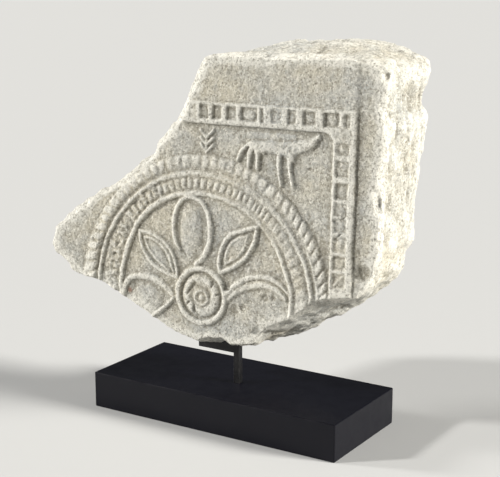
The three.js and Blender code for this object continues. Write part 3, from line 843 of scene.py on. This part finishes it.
# %% Break the edge of the face
LEFT_CORNER = 43  # from this corner of the outline to its end the edge is broken back further
RIGHT_CORNERS = (6, 20)  # between these it is broken back unevenly
RAGGED_SIZE, UNEVEN_SIZE, UNEVEN_OCTAVES = 22, 30, 5
NEAR_FRONT, BREAK_LEVEL, DEEPEST_BREAK = 8, -3.2, -6.5
# for each break its width, how far the width wanders, and how steep it is
PLAIN_WIDTH, PLAIN_WANDER, PLAIN_SLOPE = 1.5, 2, 1.6
LEFT_WIDTH, LEFT_WANDER, LEFT_SLOPE = 7, 3, 0.75
RIGHT_WIDTH, RIGHT_WANDER, RIGHT_SLOPE = 2.5, 9, 1.1

near_front = points[:, 2] > GROUND - NEAR_FRONT
edge_points = points[near_front]
edge_u, edge_v = edge_points[:, 0], edge_points[:, 1]
ragged = rough(edge_points * (1, 1, 0) + 90, RAGGED_SIZE)
uneven = rough(edge_points * (0.3, 1, 0.3) + 130, UNEVEN_SIZE, UNEVEN_OCTAVES)
front_outline = np.vstack([outline_at(0), outline_at(0)[:1]])
right_line = front_outline[RIGHT_CORNERS[1]:RIGHT_CORNERS[0]:-1]
from_edge = distance_to_line(front_outline, edge_u, edge_v)
from_left_edge = distance_to_line(front_outline[LEFT_CORNER:], edge_u, edge_v)
plain_break = from_edge - PLAIN_WIDTH - PLAIN_WANDER * ragged
left_break = from_left_edge - LEFT_WIDTH - LEFT_WANDER * ragged
to_right_line = np.interp(edge_v, right_line[:, 1], right_line[:, 0]) - edge_u
right_break = to_right_line - (RIGHT_WIDTH + RIGHT_WANDER * uneven)
slopes = [plain_break * PLAIN_SLOPE, left_break * LEFT_SLOPE, right_break * RIGHT_SLOPE]
broken = np.maximum(np.min(slopes, axis=0), DEEPEST_BREAK)
limit = BREAK_LEVEL + broken + 0.5 * rough(edge_points, LUMP_SIZE)
points[near_front, 2] = np.minimum(edge_points[:, 2], limit)
lowered = np.zeros(len(points))
lowered[near_front] = edge_points[:, 2] - points[near_front, 2]
print("edge lowered by up to", round(lowered.max(), 1), "mm")

# %% Roughen the sides and the back
SIDE_SLITS = (  # n, v, half width, on the broken right side
    [(-4.5, 139, 1.5), (-10, 126, 3), (-17, 117.5, 1.5)], [(-13.5, 139, 1.5), (-20.5, 130, 2.4)],
    [(-19.5, 93, 1.2), (-21, 82, 2.2), (-31, 79.5, 1.4)], [(-15, 27, 2), (-17, 22, 2)],
    [(-24, 60, 1.5), (-30, 40, 2.5)], [(-40, 150, 1.5), (-46, 120, 3), (-44, 105, 1.5)],
    [(-52, 70, 1.5), (-50, 30, 2.6)],
)
FACET_SIZE, CRAG_SIZE, CHIPPED_SIZE = 34, 12, 5.5
FACET_HEIGHT, CRAG_HEIGHT, CHIPPED_HEIGHT, CRAG_EXTRA = 1.7, 1.8, 0.75, 1.6
SLIT_DEPTH, SLIT_WANDER = 1.8, 1.4
BACK_CALM, EDGE_CALM = 0.6, 0.85  # how much of the roughness the dressed back and the broken edge lose
OUTWARDS_LIMIT = 1.3  # keeps the break inside the solid's outline

facets = rough(points, FACET_SIZE, 2)
crags = rough(points * (1, 0.5, 1) + 500, CRAG_SIZE, 4)
chipped = rough(points * (1, 0.7, 1) + 700, CHIPPED_SIZE)
dressed = step(-normals[:, 2], 0.6, 0.9)  # the back
amount = np.where(on_front, 0, 1 - BACK_CALM * dressed) * (1 - EDGE_CALM * step(lowered, 0.5, 3))
side = Face(points[:, 2] + 3 * chipped, points[:, 1] + 4 * crags)
on_the_right = normals[:, 0] > 0.4
slits = np.max([crown(side.stroke(slit)) for slit in SIDE_SLITS], axis=0) * on_the_right
coarse = FACET_HEIGHT * facets + CRAG_HEIGHT * crags
shift = amount * (coarse + CHIPPED_HEIGHT * chipped - CRAG_EXTRA * np.clip(-crags - 0.2, 0, 1))
shift = np.minimum(shift, OUTWARDS_LIMIT) - amount * (SLIT_DEPTH + SLIT_WANDER * chipped) * slits
points += normals * shift[:, None]
points[:, 2] = np.maximum(points[:, 2], BACK)
stone.data.vertices.foreach_set("co", points.astype(np.float32).ravel())
stone.data.update()
print("sides moved by up to", round(np.abs(shift).max(), 1), "mm")

# %% [markdown]
# ## Into place, with room for the steel
# The finished carving goes into the frame by its matrix, and then a boolean cuts the socket in which the
# rod stands and the seat for its arm, with 0.3 mm of room all round. The cutter is the same steel shape,
# grown by that room, so the socket follows any change of the steel.

# %% The steel's shape, also used as the cutter
ROD_SIDE, ROD_X, ROD_Y, ROD_FOOT, ROD_TOP = 6.6, 2, -9, 16, 116
ARM_LENGTH, ARM_LOW, ARM_HIGH = 43, 70, 81.5
ROOM = 0.3


def steel_shape(room):
    """A square bar with an arm to the left, drawn from the front and extruded to the bar's thickness."""
    left, right = ROD_X - ROD_SIDE / 2 - room, ROD_X + ROD_SIDE / 2 + room
    arm = left - ARM_LENGTH
    low, high = ARM_LOW - room, ARM_HIGH + room
    foot, top = ROD_FOOT - room, ROD_TOP + room
    drawn = [(left, foot), (right, foot), (right, top), (left, top)]
    drawn += [(left, high), (arm, high), (arm, low), (left, low)]
    near = ROD_Y - ROD_SIDE / 2 - room
    shape = bmesh.new()
    side = shape.faces.new([shape.verts.new((x * MM, near * MM, z * MM)) for x, z in drawn])
    pulled = bmesh.ops.extrude_face_region(shape, geom=[side])["geom"]
    new = [part for part in pulled if isinstance(part, bmesh.types.BMVert)]
    bmesh.ops.translate(shape, verts=new, vec=(0, (ROD_SIDE + 2 * room) * MM, 0))
    bmesh.ops.recalc_face_normals(shape, faces=shape.faces[:])
    return shape


def cut_out(thing, cutter):
    """Takes the cutter's shape out of a piece, and throws the cutter away."""
    cut = thing.modifiers.new("cut", "BOOLEAN")
    cut.operation = "DIFFERENCE"
    cut.solver = "MANIFOLD"
    cut.object = cutter
    settled(thing)
    bpy.data.objects.remove(cutter)


stone.data.transform(stone_place)
cut_out(stone, mesh_object("socket_cutter", steel_shape(ROOM)))
stone.data.shade_smooth()
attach(stone, "root")
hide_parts("relief_fragment")
stone.data.calc_loop_triangles()
print("stone:", len(stone.data.loop_triangles), "triangles")

# %% [markdown]
# ## Worn crests and dirty grooves
# On old stone the crests are rubbed pale, and dirt stays in the grooves. Here the paling and darkening also
# stand for light: a painted highlight on the crests and painted shade in the grooves. Painting that by hand
# would take hours, so the mesh is measured. Each vertex's place is averaged with its neighbours' again and
# again, which gives a softened stone, and how far the real vertex stands out of the softened one is stored
# on it as `bulge`. A few rounds find the fine ridges and many rounds the broad ones, and the two are added
# up.

# %% Measure the bulges
FINE_ROUNDS, BROAD_ROUNDS = 12, 110
BULGE_LIMIT = 2  # mm
SIDE_BULGE = 0.4  # the coarser sides show this share of it


def mark_bulges(mesh):
    """Stores how far each vertex stands out of its softened surroundings, in millimetres, as `bulge`."""
    ends = np.zeros(len(mesh.edges) * 2, np.int32)
    mesh.edges.foreach_get("vertices", ends)
    starts, stops = ends[::2], ends[1::2]
    tail, head = np.concatenate([starts, stops]), np.concatenate([stops, starts])
    count = np.bincount(tail, minlength=len(mesh.vertices)) + 1
    places, outwards = read_points(mesh) / MM, read_points(mesh, "normal")
    soft, bulge = places.copy(), 0
    for done in range(1, BROAD_ROUNDS + 1):
        neighbours = np.stack([np.bincount(tail, soft[head, axis], len(count)) for axis in range(3)], 1)
        soft = (soft + neighbours) / count[:, None]
        if done in (FINE_ROUNDS, BROAD_ROUNDS):
            away = ((places - soft) * outwards).sum(axis=1)
            bulge = bulge + np.clip(away, -BULGE_LIMIT, BULGE_LIMIT)
    facing = step(outwards @ np.array(turned.col[2][:3]), 0.3, 0.8)
    bulge *= SIDE_BULGE + (1 - SIDE_BULGE) * facing
    mesh.attributes.new("bulge", "FLOAT", "POINT").data.foreach_set("value", bulge.astype(np.float32))
    print("bulges:", np.round(np.percentile(bulge, [2, 25, 50, 75, 98]), 2), "mm")


mark_bulges(stone.data)

# %% [markdown]
# ## Limestone
# The stone is a pale, warm grey-beige limestone with a sandy grain of one to two millimetres. Its colour
# drifts from grey to ochre in soft clouds with paler and darker patches. `bulge` makes the crests pale and
# the grooves dark. This is partly wear and dirt, and partly a painted highlight on the crests and painted
# shade in the grooves. Grains of two sizes each have their own tone, and small pits are darker because dirt
# sits in them. Under the left arch is one small reddish spot. A photograph of stone would repeat and smear
# round the corners, while noise fills the piece right through. One bump gives the grain and the pits, so
# that the surface stays rough close up.

# %% The limestone material
STAIN = tuple(stone_place @ Vector((-111, -63, -1.5)))  # a reddish spot under the left arch
COLOURS = {
    "grey": (0.48, 0.485, 0.46), "ochre": (0.585, 0.54, 0.43), "shade": (0.42, 0.42, 0.395),
    # worn crest is partly a painted highlight, and dirt is partly painted shade where it follows bulge
    "cream": (0.70, 0.67, 0.57), "worn crest and painted highlight": (0.85, 0.83, 0.75), "dirt and painted shade": (0.25, 0.23, 0.18),
    "pale mottle": (0.78, 0.75, 0.66), "dark mottle": (0.33, 0.31, 0.25), "pale grain": (0.84, 0.81, 0.72),
    "pit": (0.20, 0.18, 0.14), "rust": (0.24, 0.10, 0.06),
}
STAIN_EDGE, STAIN_CORE = 0.0042, 0.0015  # metres from its middle


def limestone():
    finish = Finish("limestone")
    bulge = finish.attribute("bulge")
    drift = finish.cloud(14, 5, 0.6)
    patches = finish.cloud(48, 5, 0.7)
    mottle = finish.cloud(190, 5, 0.85)
    tone = finish.grains(560, "Color") * 0.6 + finish.grains(1200, "Color") * 0.4
    pitted = finish.between(finish.grains(330, "Distance"), 0.30, 0.10)
    settings = {"operation": "DISTANCE"}
    from_stain = finish.node("ShaderNodeVectorMath", settings, {0: finish.place, 1: STAIN}, "Value")
    layers = (  # what it follows, where it starts, where it is full, how strong, its colour
        (patches, 0.48, 0.68, 0.7, "shade"), (patches, 0.48, 0.30, 0.6, "cream"),
        # the bulge layers: wear with a painted highlight on the crests, dirt with painted shade in the
        # grooves
        (bulge, 0.2, 1.5, 0.78, "worn crest and painted highlight"), (bulge, -0.2, -1.2, 0.65, "dirt and painted shade"),
        (mottle, 0.5, 0.72, 0.7, "pale mottle"), (mottle, 0.5, 0.3, 0.7, "dark mottle"),
        (tone, 0.52, 0.85, 0.75, "pale grain"), (tone, 0.48, 0.15, 0.75, "dirt and painted shade"),
    )
    colour = finish.blend(finish.between(drift, 0.35, 0.65), COLOURS["grey"], COLOURS["ochre"])
    for follows, start, full, strength, name in layers:
        colour = finish.blend(finish.between(follows, start, full) * strength, colour, COLOURS[name])
    colour = finish.blend(pitted * 0.4, colour, COLOURS["pit"])
    stained = finish.between(from_stain, STAIN_EDGE, STAIN_CORE)
    colour = finish.blend(stained * 0.7, colour, COLOURS["rust"])
    relief = tone * 0.5 + mottle * 1.4 - pitted * 0.5
    bump = finish.node("ShaderNodeBump", inputs={"Strength": 0.9, "Distance": 0.0015, "Height": relief})
    return finish.surface(Base_Color=colour, Roughness=0.92, Specular_IOR_Level=0.25, Normal=bump)


stone.data.materials.clear()
stone.data.materials.append(limestone())
print("limestone:", len(COLOURS), "colours")

# %% [markdown]
# ## The rod and its arm
# The bar is plain square steel, blackened and a little worn. Its edges are eased by a small bevel, so
# that they catch the light as real edges do. A bevel operator on the finished shape does this at once,
# where a modifier would have to be applied later.

# %% Make the steel
EASED = 0.35  # mm


def eased(shape, width, segments=2):
    """Rounds every edge of a shape a little."""
    bmesh.ops.bevel(shape, geom=shape.edges[:], offset=width * MM, offset_type="OFFSET", affect="EDGES",
                    segments=segments, profile=0.5, material=-1, clamp_overlap=True)
    return shape


def black_steel():
    finish = Finish("black_steel")
    cloud = finish.cloud(220, 4, 0.6)
    scratches = finish.cloud(700, 3, 0.6, stretch=(1, 1, 0.08))
    clouded = finish.between(cloud, 0.4, 0.7)
    colour = finish.blend(clouded, (0.006, 0.006, 0.007), (0.013, 0.012, 0.012))
    roughness = 0.36 + finish.between(scratches, 0.4, 0.8) * 0.2
    height = cloud + scratches
    bump = finish.node("ShaderNodeBump", inputs={"Strength": 0.25, "Distance": 0.0002, "Height": height})
    return finish.surface(Base_Color=colour, Roughness=roughness, Metallic=0.4, Normal=bump)


rod = mesh_object("steel_rod_and_arm", eased(steel_shape(0), EASED))
rod.data.materials.append(black_steel())
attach(rod, "root")
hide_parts("support_rod")
print("rod:", len(rod.data.polygons), "faces")

# %% [markdown]
# ## The black block
# The base is a block of wood under satin black lacquer. A cube is scaled to size, its edges are bevelled
# in three steps, and the socket for the rod is cut. The lacquer is smooth with a faint waviness, and
# slightly blue.

# %% Make the block
BASE_WIDTH, BASE_DEPTH, BASE_HEIGHT, BASE_EDGE = 287, 123.5, 38, 1.2


def black_lacquer():
    finish = Finish("black_lacquer")
    wave = finish.cloud(60, 3, 0.5)
    dust = finish.cloud(1500, 2, 0.5)
    dusty = finish.between(dust, 0.6, 0.8) * 0.5
    colour = finish.blend(dusty, (0.003, 0.003, 0.006), (0.008, 0.008, 0.011))
    roughness = 0.32 + finish.between(wave, 0.3, 0.8) * 0.12
    height = wave + dust * 0.1
    bump = finish.node("ShaderNodeBump", inputs={"Strength": 0.12, "Distance": 0.0004, "Height": height})
    return finish.surface(Base_Color=colour, Roughness=roughness, Specular_IOR_Level=0.2, Normal=bump)


block = bmesh.new()
bmesh.ops.create_cube(block, size=1)
bmesh.ops.scale(block, verts=block.verts[:], vec=Vector((BASE_WIDTH, BASE_DEPTH, BASE_HEIGHT)) * MM)
bmesh.ops.translate(block, verts=block.verts[:], vec=(0, 0, BASE_HEIGHT / 2 * MM))
base = mesh_object("black_block", eased(block, BASE_EDGE, 3))
cut_out(base, mesh_object("socket_cutter", steel_shape(ROOM)))
base.data.materials.clear()
base.data.materials.append(black_lacquer())
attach(base, "root")
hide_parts("display_base")
print("block:", len(base.data.polygons), "faces")

# %% [markdown]
# ## Sizes and the end
# The last line measures the box round the dressed object.

# %% Measure the dressed object's box
low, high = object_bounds()
